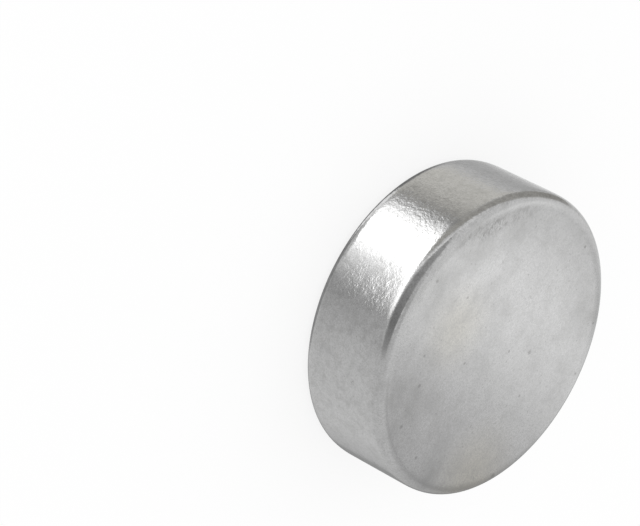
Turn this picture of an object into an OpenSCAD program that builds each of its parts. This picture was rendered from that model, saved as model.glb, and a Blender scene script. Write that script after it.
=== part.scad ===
// Disc magnet: one pressed, sintered, tumbled and nickel-plated piece.
// It lies on one flat face. The origin is the middle of that face, and +Z runs along the axis.

/* [Disc] */
// Diameter across the round side wall
disc_diameter = 15; // [4:0.5:60]
// Thickness between the two flat faces
disc_thickness = 5; // [1:0.25:30]

/* [Rims] */
// Radius that tumbling leaves on both rims, where a flat face meets the side wall
rim_radius = 0.6; // [0.1:0.05:2]

/* [Hidden] */

$fn = 128;
nickel = "#b9b9b6";

// A rounded rim takes at most this share of the thickness and of the disc's radius
rim_share = 0.45;

disc_radius = disc_diameter / 2;
rim_round = min(rim_radius, rim_share * disc_thickness, rim_share * disc_radius);
face_radius = disc_radius - rim_round;
wall_height = disc_thickness - 2 * rim_round;

// Half of the section through the axis: flat faces and a straight wall, joined by quarter circles
module half_section() {
    square([face_radius, disc_thickness]);
    translate([0, rim_round]) square([disc_radius, wall_height]);
    for (rim_z = [rim_round, rim_round + wall_height])
        translate([face_radius, rim_z]) circle(r = rim_round);
}

// The whole magnet is the half section turned about its axis
module magnet() {
    color(nickel) rotate_extrude() half_section();
}

magnet();
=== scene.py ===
import math
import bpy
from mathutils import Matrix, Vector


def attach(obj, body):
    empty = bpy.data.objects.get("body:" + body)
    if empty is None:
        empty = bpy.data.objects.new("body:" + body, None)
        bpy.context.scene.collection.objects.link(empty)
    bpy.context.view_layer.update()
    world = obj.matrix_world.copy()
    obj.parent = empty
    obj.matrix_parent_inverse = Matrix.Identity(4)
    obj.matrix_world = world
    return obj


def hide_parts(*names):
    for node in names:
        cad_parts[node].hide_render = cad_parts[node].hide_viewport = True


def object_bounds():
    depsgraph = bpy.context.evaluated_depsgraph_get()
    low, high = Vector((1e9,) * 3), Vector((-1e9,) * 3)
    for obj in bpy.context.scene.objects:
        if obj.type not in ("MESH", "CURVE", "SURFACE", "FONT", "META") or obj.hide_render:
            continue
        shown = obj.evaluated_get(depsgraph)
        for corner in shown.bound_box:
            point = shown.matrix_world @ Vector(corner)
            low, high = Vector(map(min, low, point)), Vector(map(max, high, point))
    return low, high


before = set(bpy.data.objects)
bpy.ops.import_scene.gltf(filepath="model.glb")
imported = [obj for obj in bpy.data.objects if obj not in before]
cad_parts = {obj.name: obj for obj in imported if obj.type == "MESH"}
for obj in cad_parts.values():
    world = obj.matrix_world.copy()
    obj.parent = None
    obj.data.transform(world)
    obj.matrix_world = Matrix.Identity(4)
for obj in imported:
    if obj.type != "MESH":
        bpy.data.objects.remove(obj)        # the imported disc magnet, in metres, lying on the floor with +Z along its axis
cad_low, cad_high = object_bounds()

from types import SimpleNamespace

import bpy
from bpy.props import FloatProperty, FloatVectorProperty, IntProperty, PointerProperty
from mathutils import Quaternion, Vector

bl_info = {
    "name": "Disc magnet",
    "version": (1, 0, 0),
    "blender": (4, 5, 0),
    "location": "View3D > Sidebar > Disc magnet",
    "description": "A nickel-plated disc magnet, lying on one face in a small light studio",
    "category": "Object",
}

MM = 0.001                                   # one millimetre in metres
TINY = 1e-7                                  # metres, and places closer than this are the same


def linear(hex_colour):
    """An sRGB colour such as #b9b9b6 as the linear red, green and blue that Blender's sockets take."""
    parts = [int(hex_colour[i:i + 2], 16) / 255 for i in (1, 3, 5)]
    return [p / 12.92 if p <= 0.04045 else ((p + 0.055) / 1.055) ** 2.4 for p in parts]


# ---------------------------------------------------------------- sizes and colours

class MagnetSettings(bpy.types.PropertyGroup):
    radius: FloatProperty(
        name="Radius", description="Radius of the round side wall",
        default=min(cad_high.x - cad_low.x, cad_high.y - cad_low.y) / 2, unit="LENGTH", precision=5)
    thickness: FloatProperty(
        name="Thickness", description="Distance between the two flat faces",
        default=cad_high.z - cad_low.z, unit="LENGTH", precision=5)
    rim_width: FloatProperty(
        name="Rim width", description="From the corner to where a rim starts to curve",
        default=1.0 * MM, unit="LENGTH", precision=5)
    rim_softness: FloatProperty(
        name="Rim softness", description="0.5 is a quarter round, and more starts to curve more gently",
        default=0.68, min=0.5, max=0.9, subtype="FACTOR")
    round_steps: IntProperty(
        name="Steps round the wall", description="Flat strips round the side wall", default=360, min=64)
    rim_steps: IntProperty(
        name="Steps across a rim", description="Flat strips across a rounded rim", default=28, min=4)
    plating_colour: FloatVectorProperty(
        name="Plating", description="Colour of clean nickel plating",
        default=linear("#c4c4c4"), size=3, subtype="COLOR")
    warm_colour: FloatVectorProperty(
        name="Warm plating", description="Colour of the plating where it has yellowed a little",
        default=linear("#c7c4bb"), size=3, subtype="COLOR")
    dull_colour: FloatVectorProperty(
        name="Dull plating", description="Colour of the plating where it is cloudy",
        default=linear("#a2a2a1"), size=3, subtype="COLOR")
    stain_colour: FloatVectorProperty(
        name="Stain", description="Colour of the specks, pits, flecks and rubbed marks in the plating",
        default=linear("#5f5e5c"), size=3, subtype="COLOR")


class StudioSettings(bpy.types.PropertyGroup):
    camera_distance: FloatProperty(
        name="Camera distance", description="From the lens to the middle of the disc",
        default=156.69 * MM, unit="LENGTH", precision=4)
    camera_elevation: FloatProperty(
        name="Camera elevation", description="Height angle of the camera above the floor",
        default=math.radians(35.704), subtype="ANGLE")
    camera_roll: FloatProperty(
        name="Camera roll", description="Turn of the camera about its own view line",
        default=math.radians(-117.287), subtype="ANGLE")
    camera_lens: FloatProperty(
        name="Lens", description="Focal length in millimetres, on a 36 mm sensor",
        default=191.25, unit="CAMERA")
    camera_aim: FloatVectorProperty(
        name="Camera aim", description="The point that the view is centred on, from the middle of the disc",
        default=(0.236 * MM, -11.261 * MM, 0), size=3, subtype="TRANSLATION", precision=5)
    floor_colour: FloatVectorProperty(
        name="Floor", description="Colour of the plain floor", default=linear("#fdfdfd"),
        size=3, subtype="COLOR")


# ---------------------------------------------------------------- nodes

SMOOTH = {"interpolation_type": "SMOOTHSTEP"}   # makes a Map Range node ease in and out
FACTOR, FIRST_COLOUR, SECOND_COLOUR, MIXED_COLOUR = 0, 6, 7, 2   # sockets of a Mix node set to colours


def add_node(tree, kind, inputs=(), output=0, **settings):
    """Adds a shader node, sets its properties, sets or links its inputs, and returns one of its outputs.

    The inputs are a list in the node's own order, or a dictionary by name or number.
    """
    node = tree.nodes.new("ShaderNode" + kind)
    for name, value in settings.items():
        setattr(node, name, value)
    for key, value in inputs.items() if isinstance(inputs, dict) else enumerate(inputs):
        if isinstance(value, bpy.types.NodeSocket):
            tree.links.new(value, node.inputs[key])
        else:
            node.inputs[key].default_value = value
    return node.outputs[output] if node.outputs else None


def new_material(name):
    material = bpy.data.materials.new(name)
    material.use_nodes = True
    material.node_tree.nodes.clear()
    return material, material.node_tree


# ---------------------------------------------------------------- nickel plating

# Soft random patterns: size in millimetres, detail and roughness. The plating's real grain is a few
# hundredths of a millimetre, too fine to show, so it is drawn coarser.
PATTERNS = {
    "clouds": (2.6, 5, 0.6),
    "mottling": (0.9, 3, 0.5),
    "bunches": (0.8, 2, 0.5),                # where the bumps of the peel stand higher
    "smudges": (0.4, 4, 0.65),
    "peel": (0.19, 2, 0.6),
    "pits": (0.16, 1, 0.5),
    "grain": (0.08, 2, 0.6),
}

# Levels of those patterns, between which a mark goes from nothing to full
MOTTLE_LEVELS = (0.25, 0.75)
CLOUD_LEVELS = (0.38, 0.75)
HAZY_LEVELS = (0.3, 0.7)                     # of the clouds, between which a face gets rougher
BUNCH_LEVELS = (0.35, 0.65)
SMUDGE_LEVELS = (0.42, 0.72)
WEAR_LEVELS = (0.42, 0.64)                   # of the peel, for the flecks worn along the rims
PIT_LEVELS = (0.71, 0.79)
GRAIN_LEVELS = (0.3, 0.75)
STROKE_LEVELS = (0.38, 0.7)                  # for the marks in a rub
BREAK_LEVELS = (0.38, 0.6)                   # of the mottling, where those marks are broken

# Places on the upper face are in millimetres from its middle
SPECKS = (                                   # place and radius
    (-0.5, 2.5, 0.08), (-1.4, -6.4, 0.06), (-5.1, -3.8, 0.07), (-4.8, -4.0, 0.06), (3.1, -4.0, 0.07),
    (1.8, -4.7, 0.05), (-0.1, 1.0, 0.05), (1.3, -1.7, 0.05), (1.5, 3.4, 0.05), (-1.4, -3.8, 0.05),
    (-6.0, 2.6, 0.06), (5.1, -3.8, 0.07), (-0.6, 6.7, 0.05), (6.1, -1.7, 0.06), (5.4, 4.5, 0.1),
    (-3.1, 6.1, 0.05))
SPECK_CORE, SPECK_EDGE = 0.4, 2.2            # in radii, where a speck starts to fade and where it is gone
RUBS = (                                     # place, half length, half width, turn in degrees and strength
    (-4.5, -4.7, 1.7, 0.42, 131, 0.7), (-5.8, -3.1, 1.0, 0.36, 118, 0.5))
RUB_CORE, RUB_EDGE, HAZE_EDGE = 0.4, 1.5, 3.0   # in half lengths and widths from its middle
STROKES = (0.19, 3, 0.6)                     # the marks in a rub: size, detail and roughness
STROKE_WAVINESS = 1.2
STROKE_STRETCH = (0.65, 1, 0)                # below 1 draws the marks out along that axis, 0 without end
YELLOWED = (                                 # place, radius and strength
    (0.0, -3.5, 2.8, 0.6), (6.0, 3.0, 3.6, 0.9))
DARKER_PATCHES = (                                   # place and radius of a patch where the upper face is darker
    (3.9, -4.6, 3.2), (-1.4, -6.2, 3.0), (-3.9, -5.3, 2.4), (-5.3, -3.0, 1.9), (-3.1, 5.4, 2.2),
    (6.3, -0.3, 1.6))
RING_STARTS = (4.4, 6.4)                     # from the axis, where the darker ring beside a rim comes in
RING_ENDS = (7.2, 6.2)                       # from the axis, where the same ring comes in from outside

# Depths below the nearer flat face, in rim widths, between which something comes in
WALL_TO_FACE = (0.36, 0.012)                 # the finish of a flat face
WALL_TO_MARKS = (0.12, 0.012)                # the marks of the upper face
WORN_STARTS = (0.7, 0.4)                     # the worn band of a rim, from the wall
WORN_ENDS = (0.05, 0.15)                     # the same band, from the face
UPPER_RIM_TO_PEEL = (0.7, 1.6)               # the full height of the peel
LOWER_RIM_TO_PEEL = (0.3, 0.9)

# Places along X in millimetres, between which the +X side passes into the rougher, more worn -X side
RIM_WEAR_SIDES = (2.5, 0.5)
PEEL_SIDES = (-0.5, -3.2)
RIM_PEEL_SIDES = (-0.5, -3.0)

# How strongly each mark shows, from 0 to 1
SPECK_STRENGTH = 0.5
PIT_STRENGTH = 0.28
WEAR_STRENGTH = 0.24                         # of the flecks worn along the rims
WEAR_ON_SIDES = (0.25, 1.0)                  # share of that on the +X and the -X side
BREAK_SHARE = 0.5                            # share of the marks in a rub that is left where they are broken
HAZE_STRENGTH = 0.6                          # of the dullness round a rub
RING_STRENGTH = 0.2
LEAST_SHADE = 0.45                           # share of the darker places left where the mottling is faintest
CLOUD_STRENGTH = 0.43
DULL_STRENGTH = 0.78
STAIN_STRENGTH = 0.75
SMUDGE_STRENGTH = {"A": 0.52, "B": 0.21}     # A is on the side wall and B on the flat faces
GRAIN_STRENGTH = {"A": 0.55, "B": 0.47}

WALL_ROUGHNESS = 0.11
FACE_ROUGHNESS = (0.24, 0.27)                # from clear to cloudy plating
GRAIN_HEIGHT = {"A": 0.0025, "B": 0.0018}    # millimetres
PEEL_HEIGHTS = (0.0034, 0.0076)              # millimetres, between the bunches and in them
ROUGH_PEEL_HEIGHT = 0.0155                   # millimetres, on the -X side, which is rougher
RIM_PEEL = (0.12, 0.5)                       # share of the peel left on the upper rim, on +X and on -X
FOOT_PEEL = 0.4                              # share of the peel left on the lower rim


def surface_places(tree, settings):
    """The place of a point of the surface, in millimetres and in rim widths, and the patterns there.

    The face share goes from 0 on the side wall to 1 on both flat faces, and the top share only on the upper.
    """
    rim = settings.rim_width / MM
    place = add_node(tree, "TexCoord", output="Object")
    in_mm = add_node(tree, "VectorMath", [place, (1 / MM,) * 3], operation="MULTIPLY")
    flat = add_node(tree, "VectorMath", [in_mm, (1, 1, 0)], operation="MULTIPLY")
    along_x = add_node(tree, "SeparateXYZ", [in_mm], output="X")
    height = along_x.node.outputs["Z"]
    above_foot = add_node(tree, "Math", [height, rim], operation="DIVIDE")
    below_top = add_node(tree, "Math", [settings.thickness / MM / rim, above_foot], operation="SUBTRACT")
    into_rim = add_node(tree, "Math", [above_foot, below_top], operation="MINIMUM")
    face_share = add_node(tree, "MapRange", [into_rim, *WALL_TO_FACE], **SMOOTH)
    top_share = add_node(tree, "MapRange", [below_top, *WALL_TO_MARKS], **SMOOTH)
    patterns = {
        name: add_node(tree, "TexNoise", {
            "Vector": in_mm, "Scale": 1 / size, "Detail": detail, "Roughness": roughness})
        for name, (size, detail, roughness) in PATTERNS.items()}
    return SimpleNamespace(
        in_mm=in_mm, flat=flat, along_x=along_x, above_foot=above_foot, below_top=below_top,
        into_rim=into_rim, face_share=face_share, top_share=top_share, **patterns)


def round_patch(tree, at, x, y, edge, core=0.0, strength=1.0):
    """A soft round patch, at its full strength within the core radius and gone at the edge radius."""
    away = add_node(tree, "VectorMath", [at.flat, (x, y, 0)], output="Value", operation="DISTANCE")
    return add_node(tree, "MapRange", [away, edge, core, 0.0, strength], **SMOOTH)


def strongest(tree, patterns):
    """The highest of several patterns at each point."""
    highest = 0.0
    for pattern in patterns:
        highest = add_node(tree, "Math", [highest, pattern], operation="MAXIMUM")
    return highest


def rubbed_patches(tree, at):
    """Each rubbed patch as broken, wavy marks, and the dull haze round each."""
    size, detail, roughness = STROKES
    stretched = add_node(tree, "VectorMath", [at.in_mm, STROKE_STRETCH], operation="MULTIPLY")
    strokes = add_node(tree, "TexNoise", {
        "Vector": stretched, "Scale": 1 / size, "Detail": detail, "Roughness": roughness,
        "Distortion": STROKE_WAVINESS})
    strokes = add_node(tree, "MapRange", [strokes, *STROKE_LEVELS], **SMOOTH)
    breaks = add_node(tree, "MapRange", [at.mottling, *BREAK_LEVELS, BREAK_SHARE, 1.0], **SMOOTH)
    strokes = add_node(tree, "Math", [strokes, breaks], operation="MULTIPLY")
    rubs, hazes = [], []
    for x, y, length, width, turn, strength in RUBS:
        in_patch = add_node(tree, "Mapping", {
            "Vector": at.flat, "Location": (x, y, 0), "Rotation": (0, 0, math.radians(turn)),
            "Scale": (length, width, 1)}, vector_type="TEXTURE")
        away = add_node(tree, "VectorMath", [in_patch], output="Value", operation="LENGTH")
        near = add_node(tree, "MapRange", [away, RUB_EDGE, RUB_CORE, 0.0, strength], **SMOOTH)
        rubs.append(add_node(tree, "Math", [near, strokes], operation="MULTIPLY"))
        haze = [away, HAZE_EDGE, RUB_CORE, 0.0, HAZE_STRENGTH * strength]
        hazes.append(add_node(tree, "MapRange", haze, **SMOOTH))
    return rubs, hazes


def dark_marks(tree, at, rubs):
    """The specks and rubs of the upper face, the pits all over, and the flecks worn along the rims."""
    specks = [
        round_patch(tree, at, x, y, SPECK_EDGE * radius, SPECK_CORE * radius, SPECK_STRENGTH)
        for x, y, radius in SPECKS]
    on_top = add_node(tree, "Math", [strongest(tree, specks + rubs), at.top_share], operation="MULTIPLY")
    pits = add_node(tree, "MapRange", [at.pits, *PIT_LEVELS, 0.0, PIT_STRENGTH], **SMOOTH)
    worn = add_node(tree, "MapRange", [at.peel, *WEAR_LEVELS, 0.0, WEAR_STRENGTH], **SMOOTH)
    rim_starts = add_node(tree, "MapRange", [at.into_rim, *WORN_STARTS], **SMOOTH)
    rim_ends = add_node(tree, "MapRange", [at.into_rim, *WORN_ENDS], **SMOOTH)
    worn_side = add_node(tree, "MapRange", [at.along_x, *RIM_WEAR_SIDES, *WEAR_ON_SIDES], **SMOOTH)
    for share in (rim_starts, rim_ends, worn_side):
        worn = add_node(tree, "Math", [worn, share], operation="MULTIPLY")
    return strongest(tree, (on_top, pits, worn))


def dullness(tree, at, hazes):
    """Darker patches and hazes on the upper face, a darker ring beside the rims, and soft clouds all over.
    """
    patches = hazes + [round_patch(tree, at, x, y, radius) for x, y, radius in DARKER_PATCHES]
    on_top = add_node(tree, "Math", [strongest(tree, patches), at.top_share], operation="MULTIPLY")
    from_axis = add_node(tree, "VectorMath", [at.flat], output="Value", operation="LENGTH")
    ring_starts = add_node(tree, "MapRange", [from_axis, *RING_STARTS, 0.0, RING_STRENGTH], **SMOOTH)
    ring_ends = add_node(tree, "MapRange", [from_axis, *RING_ENDS], **SMOOTH)
    ring = add_node(tree, "Math", [ring_starts, ring_ends], operation="MULTIPLY")
    shade = strongest(tree, (on_top, ring))
    faint_mottling = add_node(tree, "MapRange", [at.mottling, *MOTTLE_LEVELS, LEAST_SHADE, 1.0], **SMOOTH)
    shade = add_node(tree, "Math", [shade, faint_mottling], operation="MULTIPLY")
    clouds = add_node(tree, "MapRange", [at.clouds, *CLOUD_LEVELS, 0.0, CLOUD_STRENGTH], **SMOOTH)
    full_mottling = add_node(tree, "MapRange", [at.mottling, *MOTTLE_LEVELS], **SMOOTH)
    clouds = add_node(tree, "Math", [clouds, full_mottling], operation="MULTIPLY")
    return strongest(tree, (clouds, shade))


def plating_tint(tree, at, settings, dull, marks):
    """Clean plating, yellowed in places, then greyed by dullness, darker patches, smudges and grain, then
    stained.
    """
    yellowed = [round_patch(tree, at, x, y, radius, 0.0, strength) for x, y, radius, strength in YELLOWED]
    smudges = add_node(tree, "Mix", {"Factor": at.face_share, "A": at.smudges, "B": at.mottling})
    smudges = add_node(tree, "MapRange", [smudges, *SMUDGE_LEVELS], **SMOOTH)
    smudge_strength = add_node(tree, "Mix", {"Factor": at.face_share, **SMUDGE_STRENGTH})
    grain = add_node(tree, "MapRange", [at.grain, *GRAIN_LEVELS], **SMOOTH)
    grain_strength = add_node(tree, "Mix", {"Factor": at.face_share, **GRAIN_STRENGTH})
    layers = (
        (strongest(tree, yellowed), 1.0, settings.warm_colour),
        (dull, DULL_STRENGTH, settings.dull_colour),
        (smudges, smudge_strength, settings.dull_colour),
        (grain, grain_strength, settings.dull_colour),
        (marks, STAIN_STRENGTH, settings.stain_colour))
    colour = (*settings.plating_colour, 1)
    for pattern, strength, tint in layers:
        cover = add_node(tree, "Math", [pattern, strength], operation="MULTIPLY")
        colour = add_node(
            tree, "Mix", {FACTOR: cover, FIRST_COLOUR: colour, SECOND_COLOUR: (*tint, 1)},
            output=MIXED_COLOUR, data_type="RGBA")
    return colour


def bump_heights(tree, at):
    """Heights in millimetres: peel on the side wall, fading over the rims, and grain everywhere."""
    bunches = add_node(tree, "MapRange", [at.bunches, *BUNCH_LEVELS, *PEEL_HEIGHTS], **SMOOTH)
    rough_side = add_node(tree, "MapRange", [at.along_x, *PEEL_SIDES], **SMOOTH)
    peel_height = add_node(tree, "Mix", {"Factor": rough_side, "A": bunches, "B": ROUGH_PEEL_HEIGHT})
    least = add_node(tree, "MapRange", [at.along_x, *RIM_PEEL_SIDES, *RIM_PEEL], **SMOOTH)
    upper = add_node(tree, "MapRange", [at.below_top, *UPPER_RIM_TO_PEEL, least, 1.0], **SMOOTH)
    lower = add_node(tree, "MapRange", [at.above_foot, *LOWER_RIM_TO_PEEL, FOOT_PEEL, 1.0], **SMOOTH)
    for share in (upper, lower):
        peel_height = add_node(tree, "Math", [peel_height, share], operation="MULTIPLY")
    peel_height = add_node(tree, "Mix", {"Factor": at.face_share, "A": peel_height, "B": 0.0})
    grain_height = add_node(tree, "Mix", {"Factor": at.face_share, **GRAIN_HEIGHT})
    peel = add_node(tree, "Math", [at.peel, peel_height], operation="MULTIPLY")
    grain = add_node(tree, "Math", [at.grain, grain_height], operation="MULTIPLY")
    return add_node(tree, "Math", [peel, grain], operation="ADD")


def nickel_plating(settings):
    """Nickel plating on a tumbled, sintered body.

    The ground side wall keeps a gloss with orange-peel bumps, which break the edges of mirrored lights
    into flecks. The lapped flat faces look satin, finely grained and a little cloudy, darker in patches
    and in a ring beside the rims, with a few dark specks and a faint smear of rubbed marks.
    """
    material, tree = new_material("satin_nickel_plating")
    at = surface_places(tree, settings)
    rubs, hazes = rubbed_patches(tree, at)
    marks = dark_marks(tree, at, rubs)
    dull = dullness(tree, at, hazes)
    colour = plating_tint(tree, at, settings, dull, marks)
    face_roughness = add_node(tree, "MapRange", [at.clouds, *HAZY_LEVELS, *FACE_ROUGHNESS], **SMOOTH)
    roughness = add_node(tree, "Mix", {"Factor": at.face_share, "A": WALL_ROUGHNESS, "B": face_roughness})
    normal = add_node(tree, "Bump", {"Height": bump_heights(tree, at), "Strength": 1.0, "Distance": MM})
    shader = add_node(tree, "BsdfPrincipled", {
        "Base Color": colour, "Metallic": 1.0, "Roughness": roughness, "Normal": normal})
    add_node(tree, "OutputMaterial", {"Surface": shader})
    return material


# ---------------------------------------------------------------- the disc

def select_where(mesh_object, wanted, kind):
    """Goes to edit mode with only the vertices or edges selected whose places wanted() accepts."""
    bpy.ops.object.mode_set(mode="EDIT")
    bpy.ops.mesh.select_mode(type=kind)
    bpy.ops.mesh.select_all(action="DESELECT")
    bpy.ops.object.mode_set(mode="OBJECT")
    mesh = mesh_object.data
    for part in mesh.vertices if kind == "VERT" else mesh.edges:
        corners = [part] if kind == "VERT" else [mesh.vertices[i] for i in part.vertices]
        if wanted([corner.co for corner in corners]):
            part.select = True
            for corner in corners:
                corner.select = True
    bpy.ops.object.mode_set(mode="EDIT")


class MAGNET_OT_build_disc(bpy.types.Operator):
    """Builds the magnet: half a section with rounded corners, spun about its axis and plated with nickel"""
    bl_idname = "magnet.build_disc"
    bl_label = "Build the disc"

    def execute(self, context):
        settings = context.scene.magnet_settings
        radius, thickness = settings.radius, settings.thickness

        # Half of the section: a rectangle from the axis to the side wall, its outer corners rounded
        bpy.ops.object.select_all(action="DESELECT")
        bpy.ops.mesh.primitive_plane_add(
            size=1, location=(radius / 2, 0, thickness / 2), rotation=(math.pi / 2, 0, 0))
        disc = context.object
        disc.name = "nickel_disc"
        disc.scale = (radius, thickness, 1)
        bpy.ops.object.transform_apply(location=True, rotation=True, scale=True)
        select_where(disc, lambda places: places[0].x > radius / 2, "VERT")
        bpy.ops.mesh.bevel(
            offset=settings.rim_width, offset_type="OFFSET", segments=settings.rim_steps,
            profile=settings.rim_softness, affect="VERTICES")
        bpy.ops.mesh.select_all(action="SELECT")
        bpy.ops.mesh.delete(type="ONLY_FACE")
        select_where(disc, lambda places: max(place.x for place in places) < TINY, "EDGE")
        bpy.ops.mesh.delete(type="EDGE")

        # The outline turned about the axis, with its start and its two poles closed
        bpy.ops.mesh.select_all(action="SELECT")
        bpy.ops.mesh.spin(steps=settings.round_steps, angle=2 * math.pi, center=(0, 0, 0), axis=(0, 0, 1))
        bpy.ops.mesh.select_all(action="SELECT")
        bpy.ops.mesh.remove_doubles(threshold=TINY)
        bpy.ops.mesh.normals_make_consistent(inside=False)
        bpy.ops.object.mode_set(mode="OBJECT")
        bpy.ops.object.shade_smooth()

        disc.data.materials.clear()
        disc.data.materials.append(nickel_plating(settings))
        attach(disc, "root")
        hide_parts("magnet")
        return {"FINISHED"}


# ---------------------------------------------------------------- the studio

# The light cards and dark flags round the disc, each nearer than the one before. Each has its distance from
# the disc in millimetres, the width of its soft edge in degrees, its tint, and stations from one end to the
# other: azimuth from +X towards +Y, lowest and highest elevation in degrees, and brightness.
WHITE, WARM = "#ffffff", "#fffdf7"
CARDS = {
    "right_wall": (320, 9, WHITE, [
        (-62, -30, 64, 0.69), (-45, -30, 66, 0.75), (-15, -30, 66, 0.80), (0, -30, 64, 0.81),
        (30, -30, 64, 0.79), (45, -30, 60, 0.68), (60, -30, 56, 0.56), (78, -30, 48, 0.42)]),
    "low_right": (316, 4, WHITE, [
        (276, -60, -30, 0.56), (284, -60, -30, 0.59), (292, -60, -29, 0.62), (302, -60, -28, 0.66),
        (318, -60, -28, 0.79), (345, -60, -28, 0.85), (375, -60, -28, 0.88), (390, -60, -28, 0.84),
        (405, -60, -28, 0.69), (420, -60, -28, 0.55), (432, -60, -28, 0.24), (448, -60, -28, 0.26)]),
    "low_left": (312, 5, WHITE, [
        (104, -60, -18, 0.66), (114, -60, -24, 0.62), (124, -60, -26, 0.56), (140, -60, -26, 0.60),
        (150, -60, -26, 0.78), (165, -60, -28, 0.88), (180, -60, -28, 0.84), (190, -60, -28, 0.70),
        (198, -60, -28, 0.50), (203, -60, -28, 0.44), (208, -60, -28, 0.42), (212, -60, -30, 0.52)]),
    "low_left_warm": (310, 6, WARM, [
        (158, -60, -27, 0.84), (165, -60, -28, 0.88), (180, -60, -28, 0.84), (190, -60, -28, 0.70),
        (198, -60, -28, 0.52)]),
    "over_camera": (308, 8, WHITE, [
        (230, 44, 68, 0.84), (250, 44, 76, 0.70), (270, 44, 78, 0.64), (290, 44, 76, 0.70),
        (308, 40, 66, 0.78)]),
    "behind_camera": (304, 7, WHITE, [
        (221, 20, 42, 0.50), (230, 10, 42, 0.49), (240, -4, 39, 0.48), (255, -14, 35, 0.45),
        (270, -20, 32, 0.38), (284, -22, 26, 0.29), (294, -18, 24, 0.36), (302, -14, 20, 0.46)]),
    "left_flag": (300, 7, WARM, [
        (128, -16, 14, 0.42), (136, -17, 19, 0.42), (150, -20, 20, 0.47), (165, -20, 18, 0.51),
        (180, -20, 12, 0.53), (195, -22, 5, 0.54), (210, -26, -5, 0.55), (222, -29, -15, 0.56),
        (232, -31, -24, 0.54)]),
    "light_strip": (296, 3, WHITE, [
        (200, 24, 29, 1.15), (212, 11, 16, 1.20), (226, -1, 4, 1.30), (236, -12, -8, 1.35),
        (245, -23, -19, 1.40), (253, -31, -27, 1.50)]),
    "far_low": (292, 6, WHITE, [
        (64, -34, -10, 0.34), (76, -34, -4, 0.36), (88, -34, 4, 0.54), (97, -34, 4, 0.78),
        (105, -34, 4, 0.92), (112, -30.5, 4, 0.81), (120, -31, 4, 0.84)]),
    "under_flag": (284, 6, WHITE, [
        (0, -90, -68, 0.42), (102, -90, -66, 0.34), (112, -90, -50, 0.26), (136, -90, -50, 0.26),
        (172, -90, -52, 0.28), (184, -90, -60, 0.36), (240, -90, -68, 0.42), (360, -90, -68, 0.42)]),
    "lit_table": (280, 5, WHITE, [
        (160, -80, -66, 0.90), (170, -80, -62, 1.20), (186, -78, -55, 1.40), (205, -74, -52, 1.40),
        (216, -72, -54, 1.10)]),
    "softbox": (70, 2, WHITE, [
        (207, -44, -33, 0.74), (212, -45, -32, 1.16), (219, -46, -30, 2.00), (227, -47, -28, 3.00),
        (240, -46, -26, 3.00), (245, -44, -27, 2.50), (250, -42, -30, 1.95), (257, -45, -33, 1.34),
        (265, -48, -34, 0.95), (274, -48, -34, 0.61), (280, -48, -34, 0.52), (286, -48, -34, 0.47)]),
    "softbox_tip": (68, 1, WHITE, [
        (244, -34, -26, 3.00), (256, -31.2, -24.5, 2.60), (266, -30.8, -24, 2.50), (276, -30.2, -24, 2.20),
        (284, -29, -25, 1.30)]),
    "face_softbox_low": (62, 4, WHITE, [
        (64, 7, 34, 0.40), (75, 7, 34, 0.47), (80, 7, 34, 0.60), (83, 7, 34, 0.78),
        (87, 7, 34, 0.97), (90, 7, 34, 1.19), (92, 7, 34, 1.10), (95, 7, 34, 0.96),
        (98, 7, 34, 0.80), (101, 7, 34, 0.71), (104, 7, 34, 0.77), (108, 7, 34, 0.94),
        (122, 7, 34, 0.97)]),
    "face_softbox": (60, 4, WHITE, [
        (64, 36, 62, 0.63), (72, 36, 68, 0.67), (77, 36, 68, 0.66), (80, 36, 68, 0.58),
        (83, 36, 69, 0.58), (85, 36, 70, 0.67), (88, 36, 71, 0.91), (90, 36, 72, 1.12),
        (92, 36, 72, 1.49), (94.5, 36, 72, 1.84), (98, 36, 72, 1.18), (101, 36, 70, 0.77),
        (104, 36, 70, 0.82), (108, 36, 70, 1.00), (114, 36, 68, 1.08), (121, 36, 66, 1.22),
        (131, 38, 62, 1.24)]),
    "face_softbox_top": (58, 6, WHITE, [
        (60, 54, 76, 0.92), (76, 53, 76, 0.92), (86, 54, 76, 0.88)]),
}
CARD_STEP = 3                                # degrees between two edges of a card
LOWEST = -90                                 # degrees, straight down

FLOOR_SIZE = 1.6                             # metres
FLOOR_DROP = 0.01 * MM                       # keeps the floor and the disc's lower face apart
FLOOR_WHITENESS = 0.8                        # how far the camera sees plain white in place of the lit floor
HORIZON = (-0.3, 0.1)                        # rise of a view line over which the mirrored room gets lighter
MIRRORED_ROOM = (0.82, 0.95)                 # brightness of the mirrored room below and above that
CAMERA_AZIMUTH = -90                         # degrees from +X towards +Y
CAMERA_SENSOR = 36                           # millimetres
CAMERA_CLIP = (10 * MM, 2.0)                 # metres, the nearest and farthest that the camera sees


def toward(azimuth, elevation, distance):
    """The point at that distance from the origin, seen in that direction in degrees."""
    a, e = math.radians(azimuth), math.radians(elevation)
    return Vector((math.cos(a) * math.cos(e), math.sin(a) * math.cos(e), math.sin(e))) * distance


def only_in_reflections(card):
    card.visible_camera = False
    card.visible_diffuse = False
    card.visible_shadow = False


def card_glow(name, tint):
    """Light by the card's own brightness, fading to nothing at its soft edge."""
    material, tree = new_material(name)
    level = add_node(tree, "Attribute", output="Fac", attribute_name="brightness")
    cover = add_node(tree, "Attribute", output="Fac", attribute_name="cover")
    light = add_node(tree, "Emission", {"Color": (*linear(tint), 1), "Strength": level})
    clear = add_node(tree, "BsdfTransparent")
    mixed = add_node(tree, "MixShader", [cover, clear, light])
    add_node(tree, "OutputMaterial", {"Surface": mixed})
    return material


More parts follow.
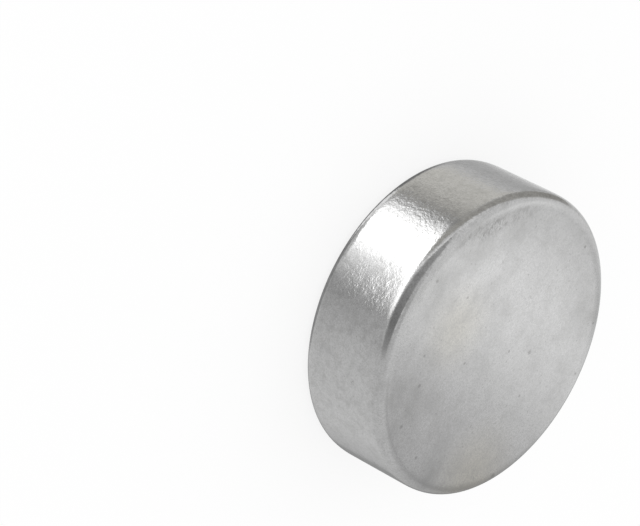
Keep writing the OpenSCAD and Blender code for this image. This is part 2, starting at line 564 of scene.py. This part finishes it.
def card_columns(stations, feather):
    """The stations with more filled in between, and one beyond each end, where the card has faded out."""
    first, last = stations[0], stations[-1]
    columns = [(first[0] - feather, *first[1:], 0)]
    for start, end in zip(stations, stations[1:]):
        count = max(1, round((end[0] - start[0]) / CARD_STEP))
        for i in range(count):
            columns.append((*(a + (b - a) * i / count for a, b in zip(start, end)), 1))
    columns.append((*last, 1))
    columns.append((last[0] + feather, *last[1:], 0))
    return columns


def add_card(name, distance, feather, tint, stations, middle):
    """A curved card that only reflections see, with edges that fade."""
    columns = card_columns(stations, feather)
    count = max(1, round(max(high - low for _, low, high, _ in stations) / CARD_STEP))
    points, faces, levels, covers = [], [], [], []
    for azimuth, low, high, level, cover in columns:
        heights = [(max(low - feather, LOWEST), 0)]
        heights += [(low + (high - low) * i / count, cover) for i in range(count + 1)]
        heights += [(high + feather, 0)]
        for elevation, share in heights:
            points.append(middle + toward(azimuth, elevation, distance))
            levels.append(level)
            covers.append(share)
    rows = len(points) // len(columns)
    for i in range(len(columns) - 1):
        for j in range(i * rows, i * rows + rows - 1):
            faces.append((j, j + rows, j + rows + 1, j + 1))
    mesh = bpy.data.meshes.new(name)
    mesh.from_pydata(points, [], faces)
    mesh.attributes.new("brightness", "FLOAT", "POINT").data.foreach_set("value", levels)
    mesh.attributes.new("cover", "FLOAT", "POINT").data.foreach_set("value", covers)
    mesh.materials.append(card_glow(name, tint))
    card = bpy.data.objects.new(name, mesh)
    bpy.context.scene.collection.objects.link(card)
    only_in_reflections(card)


def add_floor(colour):
    """A pale floor, which the camera sees nearly as plain white, with a faint shadow under the disc.

    The metal mirrors the white room in its place.
    """
    bpy.ops.object.select_all(action="DESELECT")
    bpy.ops.mesh.primitive_plane_add(size=FLOOR_SIZE, location=(0, 0, -FLOOR_DROP))
    floor = bpy.context.object
    floor.name = "floor"
    material, tree = new_material("plain_floor")
    to_camera = add_node(tree, "LightPath", output="Is Camera Ray")
    pale = add_node(tree, "BsdfDiffuse", {"Color": (*colour, 1)})
    white = add_node(tree, "Emission", {"Color": (1, 1, 1, 1), "Strength": 1.0})
    whiteness = add_node(tree, "Math", [to_camera, FLOOR_WHITENESS], operation="MULTIPLY")
    mixed = add_node(tree, "MixShader", [whiteness, pale, white])
    add_node(tree, "OutputMaterial", {"Surface": mixed})
    floor.data.materials.append(material)
    floor.visible_glossy = False
    floor.visible_shadow = False


def add_world():
    """A plain white room, which the metal mirrors a little darker, and darkest below the horizon."""
    scene = bpy.context.scene
    scene.world = bpy.data.worlds.new("white_room")
    scene.world.use_nodes = True
    tree = scene.world.node_tree
    tree.nodes.clear()
    direction = add_node(tree, "TexCoord", output="Generated")
    rise = add_node(tree, "SeparateXYZ", [direction], output="Z")
    mirrored = add_node(tree, "MapRange", [rise, *HORIZON, *MIRRORED_ROOM], **SMOOTH)
    glossy = add_node(tree, "LightPath", output="Is Glossy Ray")
    through = glossy.node.outputs["Is Transmission Ray"]
    reflected = add_node(tree, "Math", [glossy, through], operation="MAXIMUM")
    level = add_node(tree, "Mix", {"Factor": reflected, "A": 1.0, "B": mirrored})
    light = add_node(tree, "Background", {"Color": (1, 1, 1, 1), "Strength": level})
    add_node(tree, "OutputWorld", {"Surface": light})


def add_camera(studio, middle):
    data = bpy.data.cameras.new("camera")
    data.sensor_width = CAMERA_SENSOR
    data.lens = studio.camera_lens
    data.clip_start, data.clip_end = CAMERA_CLIP
    camera = bpy.data.objects.new("camera", data)
    bpy.context.scene.collection.objects.link(camera)
    bpy.context.scene.camera = camera
    elevation = math.degrees(studio.camera_elevation)
    camera.location = middle + toward(CAMERA_AZIMUTH, elevation, studio.camera_distance)
    aim = middle + Vector(studio.camera_aim)
    level = (aim - camera.location).to_track_quat("-Z", "Y")
    camera.rotation_mode = "QUATERNION"
    camera.rotation_quaternion = level @ Quaternion((0, 0, 1), -studio.camera_roll)


class MAGNET_OT_build_stage(bpy.types.Operator):
    """Sets up the floor, the white room, the light cards and the camera"""
    bl_idname = "magnet.build_stage"
    bl_label = "Build the stage"

    def execute(self, context):
        studio = context.scene.studio_settings
        middle = (cad_low + cad_high) / 2
        context.scene.view_settings.view_transform = "Standard"
        add_floor(studio.floor_colour)
        add_world()
        for name, (distance, feather, tint, stations) in CARDS.items():
            add_card(name, distance * MM, feather, tint, stations, middle)
        add_camera(studio, middle)
        return {"FINISHED"}


# ---------------------------------------------------------------- panel and registration

class MAGNET_PT_panel(bpy.types.Panel):
    """Lists the settings and the two steps"""
    bl_label = "Disc magnet"
    bl_idname = "MAGNET_PT_panel"
    bl_space_type = "VIEW_3D"
    bl_region_type = "UI"
    bl_category = "Disc magnet"

    def draw(self, context):
        for group in (context.scene.magnet_settings, context.scene.studio_settings):
            column = self.layout.column()
            for name in type(group).__annotations__:
                column.prop(group, name)
        for operator in OPERATORS:
            self.layout.operator(operator.bl_idname)


OPERATORS = (MAGNET_OT_build_disc, MAGNET_OT_build_stage)
CLASSES = (MagnetSettings, StudioSettings, *OPERATORS, MAGNET_PT_panel)


def register():
    for new_class in CLASSES:
        bpy.utils.register_class(new_class)
    bpy.types.Scene.magnet_settings = PointerProperty(type=MagnetSettings)
    bpy.types.Scene.studio_settings = PointerProperty(type=StudioSettings)


def unregister():
    del bpy.types.Scene.studio_settings
    del bpy.types.Scene.magnet_settings
    for new_class in reversed(CLASSES):
        bpy.utils.unregister_class(new_class)


def main():
    register()
    bpy.ops.magnet.build_disc()
    bpy.ops.magnet.build_stage()


if __name__ == "__main__":
    main()
